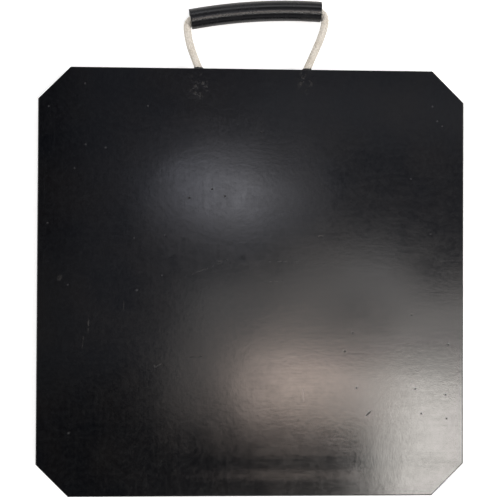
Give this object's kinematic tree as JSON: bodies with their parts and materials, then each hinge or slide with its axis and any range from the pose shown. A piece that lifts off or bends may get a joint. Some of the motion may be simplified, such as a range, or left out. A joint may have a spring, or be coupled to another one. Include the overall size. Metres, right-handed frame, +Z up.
{
  "type": "jack base plate",
  "caption": "Square rubber base plate with cut corners that spreads a jack's load on the ground, with a rope carry handle moulded into one edge and a hose grip on the rope.",
  "frame": {"origin": "middle of the plate's underside, on the ground", "axes": "+Z up through the plate's thickness, +Y towards the rope handle, +X to the right when the handle points away"},
  "size_m": [0.4, 0.468, 0.025],
  "materials": {
    "moulded_rubber": "semi-gloss moulded rubber with handling scuffs",
    "braided_rope": "matt off-white braid",
    "hose_rubber": "glossy extruded rubber"
  },
  "bodies": {
    "root": {"base_plate": "moulded_rubber", "carry_rope": "braided_rope", "hose_grip": "hose_rubber"}
  },
  "joints": []
}
